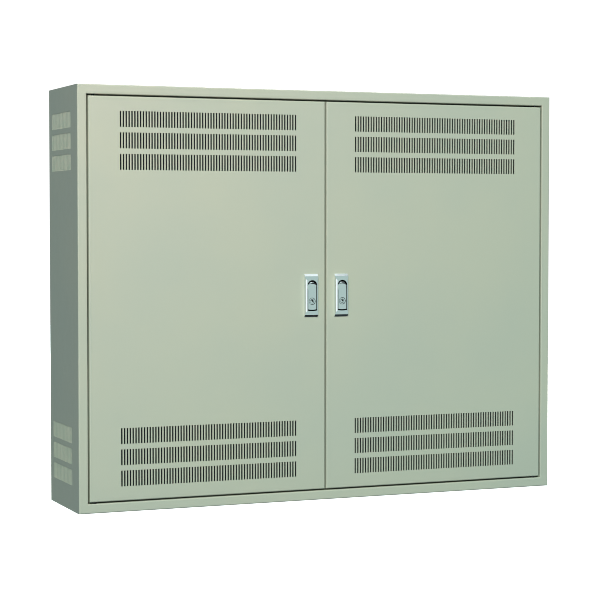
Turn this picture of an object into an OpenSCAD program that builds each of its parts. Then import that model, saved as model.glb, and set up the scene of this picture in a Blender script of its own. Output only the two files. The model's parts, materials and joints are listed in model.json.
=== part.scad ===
// Wall-mount equipment cabinet: folded sheet body, two flush slotted doors and key-driven lock rods.
// X runs to the right, +Y into the wall and +Z up, in millimetres. The origin is the centre of the
// wall-bolt pattern on the back plane, so the front face lies at y = -depth.
// Left-hand pieces are drawn in place, and the right-hand ones are their mirror images.

/* [Cabinet] */
// Overall width
width = 1000; // [800:10:1400]
// Overall height
height = 800; // [700:10:1200]
// Depth from the wall to the front face
depth = 200; // [160:5:400]
// Thickness of the folded sheet
sheet = 1.6; // [1.2:0.1:2]
// Outer radius of a fold
fold_r = 2.4; // [2.2:0.1:3]
// Width of the front frame round the doors
frame_face = 18; // [16:1:26]
// How far the frame's lip runs back from the front
lip_depth = 28; // [27:1:34]
// Width of the stop flange behind the doors
stop_width = 14; // [13:1:18]
// Depth of the back panel's flanges
back_flange = 15; // [10:1:25]

/* [Doors] */
// Gap round each door
door_gap = 3; // [2.8:0.1:4]
// Depth of the door pan
door_depth = 20; // [19:0.5:21]
// Width of the returns behind the door's edges
door_return = 12; // [11:0.5:14]
// Width of a stiffener's crown
stiffener_w = 30; // [24:1:40]
// Height of a stiffener above the door skin
stiffener_d = 12; // [9:0.5:14]
// Width of a stiffener's feet
stiffener_foot = 12; // [8:1:16]
// Distance of the stiffeners from the middle of the door
stiffener_out = 205; // [150:5:210]
// Space between a stiffener's ends and the door's edges
stiffener_end = 5; // [4:1:8]

/* [Vents] */
// Width of a slot
slot_w = 3; // [2:0.1:3.5]
// Height of a slot
slot_h = 30; // [20:1:34]
// Distance from slot to slot
slot_pitch = 5.6; // [5:0.1:8]
// Distance from row to row
row_pitch = 40; // [36:1:44]
// Number of rows in a field
slot_rows = 3; // [1:1:3]
// Space between a door's upper or lower edge and its slots
vent_edge = 27; // [22:1:32]
// Least space between a door's side edge and its slots
vent_side = 60; // [50:1:120]
// Least space between the front face and the side panel's slots
side_vent_front = 47; // [40:1:60]
// Least space between the wall and the side panel's slots
side_vent_back = 21; // [18:1:40]

/* [Hinges] */
// Distance of the hinge axis from the door's edge
hinge_in = 11; // [10.5:0.1:12]
// Distance of the hinge axis behind the front face
hinge_back = 7; // [6.6:0.1:7.2]
// Radius of a hinge pin
pin_r = 3; // [2.5:0.1:3.2]
// Radial play of a part that turns on a pin
running = 0.05; // [0.03:0.01:0.08]
// Radial play of a hole that a pin or screw only passes through
passing = 0.5; // [0.3:0.05:0.6]
// Thickness of the hinge plates
hinge_plate = 4; // [3:0.5:5]
// Width of the hinge plates to each side of the axis
hinge_plate_reach = 8; // [6:0.5:8.5]
// Depth of the hinge plates
hinge_plate_d = 14; // [11:0.5:14.5]
// Radius of the pin's head and of the collar that carries the door
collar_r = 4.8; // [4.2:0.1:5]
// Height of the hinge pin's head, and length of its free end
pin_end = 2; // [1:0.5:3]

/* [Handle] */
// Width of the handle
handle_w = 28; // [27:0.5:30]
// Height of the handle
handle_h = 84; // [82:1:92]
// Height of the handle's middle above the door's
handle_lift = 1.5; // [0:0.5:4]
// Radius of the handle's rounded long edges
handle_round = 4; // [2:0.5:4.5]
// How far the handle stands out from the door
handle_rise = 8.5; // [8:0.5:9.5]
// How far the steep facets at the handle's ends rise
handle_end_rise = 4.7; // [4.5:0.1:5.5]
// Length of the steep facet at the handle's ends
handle_end = 4.3; // [3.5:0.1:4.4]
// Height of the upright rim at the handle's ends
handle_rim = 0.8; // [0.5:0.1:1.5]
// Length of the block at each end of the lever
handle_block = 13.5; // [13:0.5:14]
// Distance of the handle's centre line from the meeting line
handle_offset = 32; // [31:0.5:40]
// Depth of the handle's tub behind the front face
tub_depth = 18; // [16:0.5:19]
// Thickness of the tub's walls and floor
tub_wall = 2; // [1.5:0.1:2.2]
// Play between the tub and the door's cut-out
tub_fit = 0.3; // [0.2:0.05:0.5]
// Width of the lever
lever_w = 19; // [18:0.5:20]
// Gap along the lever's sides
lever_gap = 0.5; // [0.4:0.05:0.7]
// Gap at the lever's ends
lever_end_gap = 1.6; // [1.2:0.1:1.8]
// Height of the lever's face above the door
lever_rise = 8; // [7.8:0.1:8.4]
// Height of the lever's back above the door
lever_back = 1.5; // [1:0.1:2]
// Radius of the bow at the lever's lower end
lever_bow = 45; // [35:1:80]
// Radius of the lever's pin
lever_pin_r = 1.5; // [1.2:0.1:1.7]
// Height of the lever's pin above the door
lever_pin_rise = 4; // [3.8:0.1:4.3]
// Radius of the thumb dish in the lever
thumb_r = 5.3; // [4:0.1:6]
// Depth of the thumb dish
thumb_depth = 1.9; // [1.2:0.1:2.1]
// Radius of the handle's fixing screws
handle_screw_r = 1.8; // [1.5:0.1:1.8]
// Distance of the fixing screws from the handle's ends
handle_screw_in = 6.2; // [6:0.1:6.4]
// Depth of the fixing screws in the handle
handle_screw_l = 4; // [3:0.5:4]

/* [Lock] */
// Distance of the key below the middle of the door
key_drop = 9.5; // [8.5:0.5:10]
// Radius of the lock barrel's head
barrel_r = 6; // [5.8:0.1:6.3]
// Height of the barrel's head above the door
barrel_rise = 7.3; // [6.5:0.1:7.5]
// Gap between the barrel and the hole in the lever
barrel_gap = 0.9; // [0.8:0.05:1.2]
// Radius of the barrel's thread
thread_r = 5.5; // [5.2:0.1:5.7]
// Length of the thread behind the tub
thread_l = 5; // [4.5:0.1:5.2]
// Radius of the key plug
plug_r = 4; // [3.8:0.1:4.3]
// Width of the key slot
key_slot_w = 1.6; // [1:0.1:2]
// Length of the key slot
key_slot_l = 6; // [5:0.1:6.5]
// Depth of the key slot
key_slot_d = 3; // [2:0.5:6]
// Tilt of the key slot from the vertical
key_tilt = 50; // [0:5:90]
// Radius of the circle that the cam's pins run on
cam_pin_circle = 12; // [11.5:0.1:12.5]
// Radius of the cam's pins
cam_pin_r = 2.5; // [2:0.1:2.7]
// Metal round the cam's pins
cam_rim = 2; // [1.5:0.1:3]
// Thickness of the cam
cam_t = 3.6; // [3:0.1:3.6]
// Width of the square that drives the cam
drive_w = 5; // [4:0.1:5.4]
// Radius of the cam's screw
cam_screw_r = 1.5; // [1:0.1:1.6]
// Depth of the cam's screw in the plug
cam_screw_l = 8; // [5:0.5:10]
// Gap in front of the cam
cam_gap = 1; // [0.5:0.1:1.2]

/* [Rods] */
// Width of a lock rod
rod_w = 14; // [13.5:0.1:14.2]
// Thickness of a lock rod
rod_t = 4; // [3:0.5:4.5]
// Space between the stop flange and the rods behind it
rod_clear = 1.5; // [1:0.1:2]
// How far a drawn rod ends inside the stop flange
rod_drawn = 3; // [2:0.5:5]
// Play of a cam pin in its slot
cam_pin_play = 0.6; // [0.5:0.05:0.7]
// Play of a rod in its guides
guide_play = 0.4; // [0.3:0.05:0.6]
// Wall of a rod guide
guide_wall = 3; // [2:0.5:4]
// Height of a rod guide
guide_h = 16; // [12:1:20]
// Width of a rod guide's foot on a stiffener
guide_foot = 13; // [10:0.5:14]
// Thickness of a guide bracket
bracket_t = 2; // [1.5:0.1:2.5]
// Length of a guide bracket below the door's return
bracket_l = 30; // [26:1:40]

/* [Catches] */
// Width of a magnet catch
magnet_w = 44; // [30:1:60]
// Height of a magnet catch
magnet_h = 9; // [7:0.5:10]
// Thickness of a catch strike
strike_t = 0.9; // [0.6:0.1:1.2]
// Gap between a magnet and its strike
catch_gap = 0.3; // [0.2:0.05:0.4]
// Distance of the catches from the meeting line
catch_in = 110; // [90:1:140]
// Radius of a door bumper
bumper_r = 5; // [4:0.5:5]
// Distance of the bumpers from the meeting line
bumper_in = 170; // [160:1:200]
// Gap between a bumper and the door
bumper_gap = 0.2; // [0.1:0.05:0.4]

/* [Mounting] */
// Distance of the wall bolts from the cabinet's sides
bolt_in = 50; // [40:1:60]
// Radius of the wall-bolt holes
bolt_r = 6; // [4:0.5:8]
// Width of a wall doubler
doubler_w = 56; // [40:1:60]
// Thickness of a wall doubler
doubler_t = 3; // [2:0.5:5]
// Space between the equipment plate and the cabinet's sides
plate_gap = 90; // [88:1:140]
// Thickness of the equipment plate
plate_t = 2.3; // [1.6:0.1:3.2]
// Distance of the equipment plate from the back panel
plate_out = 20; // [15:1:30]
// Distance of the studs from the plate's edges
stud_in = 22; // [20:1:40]
// Radius of the studs
stud_r = 4; // [3:0.5:4]
// Radius of a stud's spacer
spacer_r = 8; // [7:0.5:10]
// Length of a stud in front of the plate or the washer
stud_end = 12; // [10:1:16]
// Height of a nut
nut_h = 6.5; // [5:0.5:7]
// Radius of a nut across its corners
nut_r = 7.5; // [7:0.5:8]
// Radius of a nut's end faces against that across its corners
nut_round_share = 0.92; // [0.9:0.01:0.96]
// Distance of the earth stud below the equipment plate
earth_drop = 35; // [25:1:50]

/* [Cable entry] */
// Width of the cut-out in the bottom panel
entry_w = 300; // [200:10:400]
// Depth of the cut-out in the bottom panel
entry_d = 70; // [50:5:80]
// Distance of the cut-out's middle from the wall
entry_back = 80; // [70:1:85]
// How far the cover laps over the cut-out's edges
cover_lap = 18; // [15:1:20]
// Radius of the cover's screws
cover_screw_r = 2.5; // [2:0.1:3]
// Radius of a pan head against its screw's
head_share = 1.75; // [1.6:0.05:1.8]
// Height of a pan head against its screw's radius
head_h_share = 1.1; // [0.8:0.05:1.2]
// Length of a head's cross recess against the head's radius
recess_length_share = 1.1; // [0.8:0.05:1.3]
// Width of a head's cross recess against the head's radius
recess_width_share = 0.26; // [0.2:0.01:0.35]

/* [Hidden] */
$fn = 48;
// A cut runs this far past the faces that it opens
over = sheet;
inner_r = fold_r - sheet;
// Doors
door_w = (width - 2 * frame_face - 3 * door_gap) / 2;
door_h = height - 2 * frame_face - 2 * door_gap;
door_x = -(door_gap + door_w) / 2;
door_edge_x = -width / 2 + frame_face + door_gap;
vent_h = (slot_rows - 1) * row_pitch + slot_h;
door_slots = floor((door_w - 2 * vent_side - slot_w) / slot_pitch) + 1;
side_slots = floor((depth - side_vent_front - side_vent_back - slot_w) / slot_pitch) + 1;
side_vent_y = (side_vent_front - side_vent_back - depth) / 2;
// Hinges
hinge_x = door_edge_x + hinge_in;
hinge_y = hinge_back - depth;
lip_z = height / 2 - frame_face;
// Handle and lever
key_x = -handle_offset;
lever_h = handle_h - 2 * handle_block;
lever_pin_z = handle_lift + (lever_h - lever_w) / 2;
pocket_w = lever_w + 2 * lever_gap;
tub_w = pocket_w + 2 * tub_wall;
tub_h = lever_h + 2 * lever_end_gap + 2 * tub_wall;
tub_floor = tub_depth - tub_wall;
thumb_ball = (thumb_r * thumb_r + thumb_depth * thumb_depth) / (2 * thumb_depth);
handle_screw_z = handle_h / 2 - handle_screw_in;
// Lock and rods, as depths behind the front face
thread_end = tub_depth + thread_l;
cam_front = thread_end + cam_gap;
cam_back = cam_front + cam_t;
rod_front = lip_depth + rod_clear;
rod_back = rod_front + rod_t;
cam_travel = 2 * cam_pin_circle * sin(45);
rod_off = cam_pin_circle * (1 + cos(45)) / 2;
rod_slot_w = cam_pin_circle * (1 - cos(45)) + 2 * (cam_pin_r + cam_pin_play);
rod_slot_h = 2 * (cam_pin_r + cam_pin_play);
rod_end_z = lip_z - stop_width - rod_drawn;
rod_foot = rod_slot_h / 2 + cam_rim;
stiffener_top = sheet + stiffener_d;
guide_w = rod_w + 2 * (guide_play + guide_wall);
guide_seat = door_depth + bracket_t;
guide_back = rod_back + guide_play + guide_wall;
bracket_z = door_h / 2 - door_return - bracket_l;
// Catches
stop_front = lip_depth - sheet;
catch_z = door_h / 2 - door_return / 2;
// Mounting
bolt_x = width / 2 - bolt_in;
bolt_z = height / 2 - bolt_in;
plate_w = width - 2 * plate_gap;
plate_h = height - 2 * plate_gap;
stud_x = plate_w / 2 - stud_in;
stud_z = plate_h / 2 - stud_in;
cover_w = entry_w + 2 * cover_lap;
cover_d = entry_d + 2 * cover_lap;
// Colours
paint = [0.76, 0.77, 0.69];
chrome = [0.78, 0.81, 0.83];
zinc = [0.66, 0.67, 0.66];
steel = [0.5, 0.51, 0.52];
black_steel = [0.16, 0.16, 0.17];
brass = [0.78, 0.62, 0.3];
rubber = [0.12, 0.12, 0.12];
nylon = [0.88, 0.87, 0.82];

// Drawing helpers

// A front-view outline (x, z) made into a slab between two depths behind the front face
module slab(from, to) {
  translate([0, to - depth, 0])
    rotate([90, 0, 0])
      linear_extrude(to - from)
        children();
}

// A side-view outline (z, depth behind the front face) made into a bar across x
module across(at_x, bar_w) {
  translate([at_x + bar_w / 2, -depth, 0])
    rotate([0, -90, 0])
      linear_extrude(bar_w)
        children();
}

// Turns a piece that stands on zero to point into the cabinet from a depth behind the front face
module seat_y(at_x, at_z, from) {
  translate([at_x, from - depth, at_z])
    rotate([-90, 0, 0])
      children();
}

// A round along y between two depths behind the front face
module round_y(at_x, at_z, from, to, r) {
  seat_y(at_x, at_z, from) cylinder(h = to - from, r = r);
}

// Both ends of a door: the upper piece as drawn and its mirror image below
module up_and_down() {
  children();
  mirror([0, 0, 1]) children();
}

module right_hand() {
  mirror([1, 0, 0]) children();
}

// Fasteners

// A domed head with a cross recess, seated at zero
module pan_head(screw_r) {
  r = screw_r * head_share;
  h = screw_r * head_h_share;
  ball = (r * r + h * h / 4) / h;
  difference() {
    intersection() {
      cylinder(h = h, r = r);
      translate([0, 0, h - ball]) sphere(ball);
    }
    for (turn = [0, 90])
      rotate(turn)
        translate([0, 0, h])
          cube([recess_length_share * r, recess_width_share * r, h], center = true);
  }
}

// A six-sided nut with its corners rounded off at both ends, seated at zero
module hex_nut(corner_r, hole_r, h) {
  ball = sqrt(pow(corner_r * nut_round_share, 2) + h * h / 4);
  difference() {
    intersection() {
      cylinder(h = h, r = corner_r, $fn = 6);
      translate([0, 0, h / 2]) sphere(ball);
    }
    translate([0, 0, -over]) cylinder(h = h + 2 * over, r = hole_r);
  }
}

// Folded sheet

// The quarter ring of a fold, turned to its place in a section
module fold(at, turn) {
  translate(at)
    rotate(turn)
      intersection() {
        difference() {
          circle(fold_r);
          circle(inner_r);
        }
        square(fold_r);
      }
}

// Section of the body's sheet: wall, front face, lip and stop flange. The first coordinate runs
// inward from the outer face, and the second one back from the front.
module frame_section() {
  lip_in = frame_face - sheet;
  translate([0, fold_r]) square([sheet, depth - fold_r]);
  fold([fold_r, fold_r], 180);
  translate([fold_r, 0]) square([frame_face - 2 * fold_r, sheet]);
  fold([frame_face - fold_r, fold_r], 270);
  translate([lip_in, fold_r]) square([sheet, lip_depth - 2 * fold_r]);
  fold([lip_in + fold_r, lip_depth - fold_r], 90);
  translate([lip_in + fold_r, stop_front]) square([stop_width + sheet - fold_r, sheet]);
}

// One side of the body, along z, mitred at both ends
module body_panel(run) {
  reach = frame_face + stop_width + over;
  intersection() {
    linear_extrude(run, center = true) frame_section();
    translate([0, depth + over, 0])
      rotate([90, 0, 0])
        linear_extrude(depth + 2 * over)
          polygon([
            [-over, -run / 2 - over],
            [-over, run / 2 + over],
            [reach, run / 2 - reach],
            [reach, -run / 2 + reach]
          ]);
  }
}

module rounded_outline(w, d, r) {
  square([w, d - 2 * r], center = true);
  square([w - 2 * r, d], center = true);
  for (sx = [-1, 1], sy = [-1, 1])
    translate([sx * (w / 2 - r), sy * (d / 2 - r)]) circle(r);
}

// A block whose long edges are folds that meet in mitres
module fold_block(w, h, d, r) {
  intersection() {
    linear_extrude(h, center = true) rounded_outline(w, d, r);
    rotate([0, 90, 0])
      linear_extrude(w, center = true) rounded_outline(h, d, r);
  }
}

// A closed folded box of sheet, hollow inside
module folded_box(w, h, d) {
  difference() {
    fold_block(w, h, d, fold_r);
    fold_block(w - 2 * sheet, h - 2 * sheet, d - 2 * sheet, inner_r);
  }
}

// Rows of upright slots, centred on the first coordinate and hanging down from zero
module vent_field(slots) {
  for (i = [0:slots - 1], row = [0:slot_rows - 1])
    translate([(i - (slots - 1) / 2) * slot_pitch - slot_w / 2, -row * row_pitch - slot_h])
      square([slot_w, slot_h]);
}

// The upper and lower slot fields, which sit at the same heights on doors and side panels
module vent_fields(slots) {
  top = door_h / 2 - vent_edge;
  translate([0, top]) vent_field(slots);
  translate([0, vent_h - top]) vent_field(slots);
}

// Body

module side_panel() {
  color(paint)
    difference() {
      translate([-width / 2, -depth, 0]) body_panel(height);
      translate([-width / 2 - over, side_vent_y, 0])
        rotate([90, 0, 90])
          linear_extrude(sheet + 2 * over)
            vent_fields(side_slots);
    }
}

module left_side_panel() { side_panel(); }
module right_side_panel() { right_hand() side_panel(); }

// The holes that the hinge pins pass through in the upper or lower lip
module lip_holes() {
  for (side = [-1, 1])
    translate([side * hinge_x, hinge_y, 0])
      cylinder(h = height, r = pin_r + passing, center = true);
}

module lying_panel() {
  difference() {
    translate([0, -depth, -height / 2])
      rotate([0, -90, 0])
        body_panel(width);
    intersection() {
      lip_holes();
      translate([0, 0, -lip_z]) cube([width, 2 * depth, 2 * fold_r], center = true);
    }
  }
}

module top_panel() { color(paint) mirror([0, 0, 1]) lying_panel(); }

// The cover's screw places, seen from above: three along each long edge
module cover_places() {
  for (side = [-1, 0, 1], edge = [-1, 1])
    translate([side * (cover_w - cover_lap) / 2, edge * (cover_d - cover_lap) / 2 - entry_back, -height / 2])
      children();
}

module bottom_panel() {
  color(paint)
    difference() {
      lying_panel();
      translate([0, -entry_back, -height / 2]) cube([entry_w, entry_d, 4 * sheet], center = true);
      cover_places() cylinder(h = 4 * sheet, r = cover_screw_r + passing, center = true);
    }
}

module cable_cover() {
  color(paint)
    difference() {
      translate([-cover_w / 2, -entry_back - cover_d / 2, sheet - height / 2])
        cube([cover_w, cover_d, sheet]);
      cover_places() cylinder(h = 6 * sheet, r = cover_screw_r + passing, center = true);
    }
}

module cover_screws() {
  color(zinc)
    cover_places() {
      cylinder(h = 2 * sheet, r = cover_screw_r);
      translate([0, 0, 2 * sheet]) pan_head(cover_screw_r);
    }
}

// The places of the wall bolts on the back plane
module bolt_places() {
  for (sx = [-1, 1], sz = [-1, 1])
    translate([sx * bolt_x, 0, sz * bolt_z]) rotate([90, 0, 0]) children();
}

// A tray that stands between the four walls with its outer face on the back plane
module back_panel() {
  color(paint)
    difference() {
      translate([0, -back_flange, 0])
        folded_box(width - 2 * sheet, height - 2 * sheet, 2 * back_flange);
      translate([-width / 2, -3 * back_flange, -height / 2]) cube([width, 2 * back_flange, height]);
      bolt_places() cylinder(h = 4 * sheet, r = bolt_r, center = true);
    }
}

module wall_doublers() {
  color(paint)
    bolt_places()
      difference() {
        translate([-doubler_w / 2, -doubler_w / 2, sheet]) cube([doubler_w, doubler_w, doubler_t]);
        cylinder(h = sheet + doubler_t + over, r = bolt_r);
      }
}

// The places of the equipment plate's studs on the back panel's inner face
module stud_places() {
  for (sx = [-1, 1], sz = [-1, 1])
    translate([sx * stud_x, -sheet, sz * stud_z]) rotate([90, 0, 0]) children();
}

module equipment_plate() {
  color(zinc)
    difference() {
      translate([-plate_w / 2, -sheet - plate_out - plate_t, -plate_h / 2]) cube([plate_w, plate_t, plate_h]);
      stud_places() cylinder(h = plate_out + plate_t + over, r = stud_r + passing);
    }
}

module plate_studs() {
  color(zinc)
    stud_places() {
      cylinder(h = plate_out, r = spacer_r);
      cylinder(h = plate_out + plate_t + stud_end, r = stud_r);
    }
}

module plate_nuts() {
  color(zinc)
    stud_places()
      translate([0, 0, plate_out + plate_t]) hex_nut(nut_r, stud_r, nut_h);
}

module earth_place() {
  translate([0, -sheet, -plate_h / 2 - earth_drop]) rotate([90, 0, 0]) children();
}

module earth_stud() {
  color(brass)
    earth_place() {
      cylinder(h = hinge_plate, r = spacer_r);
      cylinder(h = hinge_plate + nut_h + stud_end, r = stud_r);
    }
}

module earth_nut() {
  color(brass)
    earth_place()
      translate([0, 0, hinge_plate]) hex_nut(nut_r, stud_r, nut_h);
}

// Hinges

// A plate that lies flat with a hinge hole through it, from the height of its lower face
module hinge_block(from, hole_r) {
  translate([hinge_x, -depth, from])
    difference() {
      translate([-hinge_plate_reach, fold_r, 0])
        cube([2 * hinge_plate_reach, hinge_plate_d, hinge_plate]);
      translate([0, hinge_back, -over]) cylinder(h = hinge_plate + 2 * over, r = hole_r);
    }
}

module frame_hinge_plates() { color(paint) up_and_down() hinge_block(lip_z + sheet, pin_r); }
module left_frame_hinge_plates() { frame_hinge_plates(); }
module right_frame_hinge_plates() { right_hand() frame_hinge_plates(); }

module door_hinge_plates() {
  color(paint) up_and_down() hinge_block(door_h / 2 - sheet - hinge_plate, pin_r + running);
}
module left_door_hinge_plates() { door_hinge_plates(); }
module right_door_hinge_plates() { right_hand() door_hinge_plates(); }

// A pin with its head on the frame's plate and its free end below the door's plate
module upper_pin() {
  seat = lip_z + sheet + hinge_plate;
  tip = door_h / 2 - sheet - hinge_plate - pin_end;
  color(black_steel)
    translate([hinge_x, hinge_y, 0]) {
      translate([0, 0, tip]) cylinder(h = seat - tip, r = pin_r);
      translate([0, 0, seat]) cylinder(h = pin_end, r = collar_r);
    }
}

// The lower pin also has the collar that carries the door
module lower_pin() {
  mirror([0, 0, 1]) upper_pin();
  color(black_steel)
    translate([hinge_x, hinge_y, -lip_z]) cylinder(h = door_gap - running, r = collar_r);
}

module left_upper_pin() { upper_pin(); }
module right_upper_pin() { right_hand() upper_pin(); }
module left_lower_pin() { lower_pin(); }
module right_lower_pin() { right_hand() lower_pin(); }

// Catches and bumpers

module magnet_catches() {
  color(rubber)
    up_and_down()
      slab(door_depth + strike_t + catch_gap, stop_front)
        translate([-catch_in, catch_z]) square([magnet_w, magnet_h], center = true);
}
module left_magnet_catches() { magnet_catches(); }
module right_magnet_catches() { right_hand() magnet_catches(); }

module catch_strikes() {
  color(zinc)
    up_and_down()
      slab(door_depth, door_depth + strike_t)
        translate([-catch_in, catch_z]) square([magnet_w - magnet_h, magnet_h], center = true);
}
module left_catch_strikes() { catch_strikes(); }
module right_catch_strikes() { right_hand() catch_strikes(); }

module bumpers() {
  color(rubber)
    up_and_down()
      round_y(-bumper_in, catch_z, door_depth + bumper_gap, stop_front, bumper_r);
}
module left_bumpers() { bumpers(); }
module right_bumpers() { right_hand() bumpers(); }

// Doors

module handle_screw_places() {
  for (end = [-1, 1])
    translate([key_x, handle_lift + end * handle_screw_z]) children();
}

module door() {
  color(paint)
    difference() {
      translate([door_x, door_depth / 2 - depth, 0]) folded_box(door_w, door_h, door_depth);
      slab(door_depth / 2, door_depth + over)
        translate([door_x, 0]) square([door_w - 2 * door_return, door_h - 2 * door_return], center = true);
      slab(-over, sheet + over) {
        translate([door_x, 0]) vent_fields(door_slots);
        translate([key_x, handle_lift])
          square([tub_w + 2 * tub_fit, tub_h + 2 * tub_fit], center = true);
        handle_screw_places() circle(handle_screw_r + tub_fit);
      }
      translate([hinge_x, hinge_y, 0]) cylinder(h = height, r = pin_r + passing, center = true);
    }
}
module left_door() { door(); }
module right_door() { right_hand() door(); }

// Half of a stiffener's hat section, from the middle of the crown to the foot
module half_hat() {
  side = stiffener_w / 2;
  translate([0, stiffener_d - sheet]) square([side - fold_r, sheet]);
  fold([side - fold_r, stiffener_d - fold_r], 0);
  translate([side - sheet, fold_r]) square([sheet, stiffener_d - 2 * fold_r]);
  fold([side - sheet + fold_r, fold_r], 180);
  translate([side - sheet + fold_r, 0]) square([stiffener_foot + sheet - fold_r, sheet]);
}

module stiffener() {
  color(paint)
    across(door_x, door_w - 2 * (sheet + stiffener_end))
      translate([stiffener_out, sheet]) {
        half_hat();
        mirror([1, 0]) half_hat();
      }
}
module left_upper_stiffener() { stiffener(); }
module right_upper_stiffener() { right_hand() stiffener(); }
module left_lower_stiffener() { mirror([0, 0, 1]) stiffener(); }
module right_lower_stiffener() { right_hand() mirror([0, 0, 1]) stiffener(); }

// The upper rod runs on one side of the key's axis and the lower rod on the other
module per_rod() {
  translate([key_x + rod_off, 0, 0]) children();
  translate([key_x - rod_off, 0, 0]) mirror([0, 0, 1]) children();
}

module guide_brackets() {
  color(paint)
    per_rod()
      slab(door_depth, guide_seat)
        translate([-guide_w / 2, bracket_z]) square([guide_w, bracket_l + door_return - fold_r]);
}
module left_guide_brackets() { guide_brackets(); }
module right_guide_brackets() { right_hand() guide_brackets(); }

// A block with a through slot for the rod, seated as deep as the bracket's back
module rod_guide(at_z) {
  difference() {
    slab(guide_seat, guide_back)
      translate([-guide_w / 2, at_z]) square([guide_w, guide_h]);
    slab(rod_front - guide_play, rod_back + guide_play)
      translate([-rod_w / 2 - guide_play, at_z - over])
        square([rod_w + 2 * guide_play, guide_h + 2 * over]);
  }
}

module rod_guides() {
  color(nylon)
    per_rod() {
      rod_guide(bracket_z);
      rod_guide(stiffener_out - guide_h / 2);
      // The foot down to the stiffener is narrow, to pass beside the door's return
      slab(stiffener_top, guide_seat)
        translate([0, stiffener_out]) square([guide_foot, guide_h], center = true);
    }
}
module left_rod_guides() { rod_guides(); }
module right_rod_guides() { right_hand() rod_guides(); }

// Handle

// Front outline of the lever, or of the pocket round it: arched top and a slightly bowed lower end
module lever_outline(side_gap, end_gap) {
  foot = handle_lift - lever_h / 2 - end_gap;
  crown = lever_pin_z + end_gap - side_gap;
  intersection() {
    union() {
      translate([0, crown]) circle(lever_w / 2 + side_gap);
      translate([-lever_w / 2 - side_gap, foot]) square([lever_w + 2 * side_gap, crown - foot]);
    }
    union() {
      translate([0, foot + lever_bow]) circle(lever_bow);
      translate([-lever_w, foot + lever_w / 2]) square([2 * lever_w, 2 * lever_h]);
    }
  }
}

// Side outline of the handle about its middle: low at its ends and level along the lever
module handle_outline() {
  end = handle_h / 2;
  level = lever_h / 2 + lever_end_gap;
  polygon([
    [-end, 0],
    [-end, -handle_rim],
    [-end + handle_end, -handle_end_rise],
    [-level, -handle_rise],
    [level, -handle_rise],
    [end - handle_end, -handle_end_rise],
    [end, -handle_rim],
    [end, 0]
  ]);
}

// The part of the handle in front of the door, with its long edges rounded
module handle_body() {
  intersection() {
    across(key_x, handle_w) translate([handle_lift, 0]) handle_outline();
    translate([key_x, -depth, handle_lift])
      linear_extrude(handle_h, center = true)
        rounded_outline(handle_w, 2 * handle_rise, handle_round);
  }
}

module lever_pin_line(bar_w, r) {
  across(key_x, bar_w)
    translate([lever_pin_z, -lever_pin_rise]) circle(r);
}

module handle_base() {
  color(chrome)
    difference() {
      union() {
        handle_body();
        slab(0, tub_depth) translate([key_x, handle_lift]) square([tub_w, tub_h], center = true);
      }
      slab(-handle_rise - over, tub_floor) translate([key_x, 0]) lever_outline(lever_gap, lever_end_gap);
      round_y(key_x, -key_drop, 0, tub_depth + over, thread_r);
      lever_pin_line(handle_w + 2 * over, lever_pin_r);
      slab(-handle_screw_l, over) handle_screw_places() circle(handle_screw_r);
    }
}
module left_handle_base() { handle_base(); }
module right_handle_base() { right_hand() handle_base(); }

module handle_screws() {
  color(zinc) {
    slab(-handle_screw_l, sheet) handle_screw_places() circle(handle_screw_r);
    for (end = [-1, 1])
      seat_y(key_x, handle_lift + end * handle_screw_z, sheet) pan_head(handle_screw_r);
  }
}
module left_handle_screws() { handle_screws(); }
module right_handle_screws() { right_hand() handle_screws(); }

// A bar that is round about the pin's height, with a ball at its top, so that it swings clear
module lever_bar() {
  translate([key_x, -depth - lever_pin_rise, lever_pin_z]) {
    sphere(lever_w / 2);
    translate([0, 0, -lever_h]) cylinder(h = lever_h, r = lever_w / 2);
  }
}

module lever() {
  color(chrome)
    difference() {
      intersection() {
        slab(-lever_rise, -lever_back) translate([key_x, 0]) lever_outline(0, 0);
        lever_bar();
      }
      round_y(key_x, -key_drop, -lever_rise - over, over, barrel_r + barrel_gap);
      lever_pin_line(lever_w + 2 * over, lever_pin_r + running);
      translate([key_x, thumb_depth - thumb_ball - lever_rise - depth, lever_pin_z]) sphere(thumb_ball);
    }
}
module left_lever() { lever(); }
module right_lever() { right_hand() lever(); }

module lever_pin() { color(steel) lever_pin_line(handle_w, lever_pin_r); }
module left_lever_pin() { lever_pin(); }
module right_lever_pin() { right_hand() lever_pin(); }

// Lock

module lock_barrel() {
  color(chrome)
    difference() {
      union() {
        round_y(key_x, -key_drop, -barrel_rise, tub_floor, barrel_r);
        round_y(key_x, -key_drop, tub_floor, thread_end, thread_r);
      }
      round_y(key_x, -key_drop, -barrel_rise - over, thread_end + over, plug_r + running);
    }
}
module left_lock_barrel() { lock_barrel(); }
module right_lock_barrel() { right_hand() lock_barrel(); }

module barrel_nut() {
  color(zinc)
    seat_y(key_x, -key_drop, tub_depth)
      hex_nut(thread_r + tub_wall + cam_gap, thread_r, thread_l - cam_gap);
}
module left_barrel_nut() { barrel_nut(); }
module right_barrel_nut() { right_hand() barrel_nut(); }

module key_plug() {
  color(chrome)
    difference() {
      union() {
        round_y(key_x, -key_drop, -barrel_rise, cam_front, plug_r);
        slab(cam_front, cam_back)
          translate([key_x, -key_drop]) square(drive_w, center = true);
      }
      slab(-barrel_rise - over, key_slot_d - barrel_rise)
        translate([key_x, -key_drop])
          rotate(-key_tilt) square([key_slot_w, key_slot_l], center = true);
      round_y(key_x, -key_drop, cam_back - cam_screw_l, cam_back + over, cam_screw_r);
    }
}
module left_key_plug() { key_plug(); }
module right_key_plug() { right_hand() key_plug(); }

// The cam's two pins, with the upper rod's pin at its lowest point
module cam_pin_places() {
  translate([key_x, -key_drop])
    for (turn = [-45, 135])
      rotate(turn) translate([cam_pin_circle, 0]) children();
}

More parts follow.
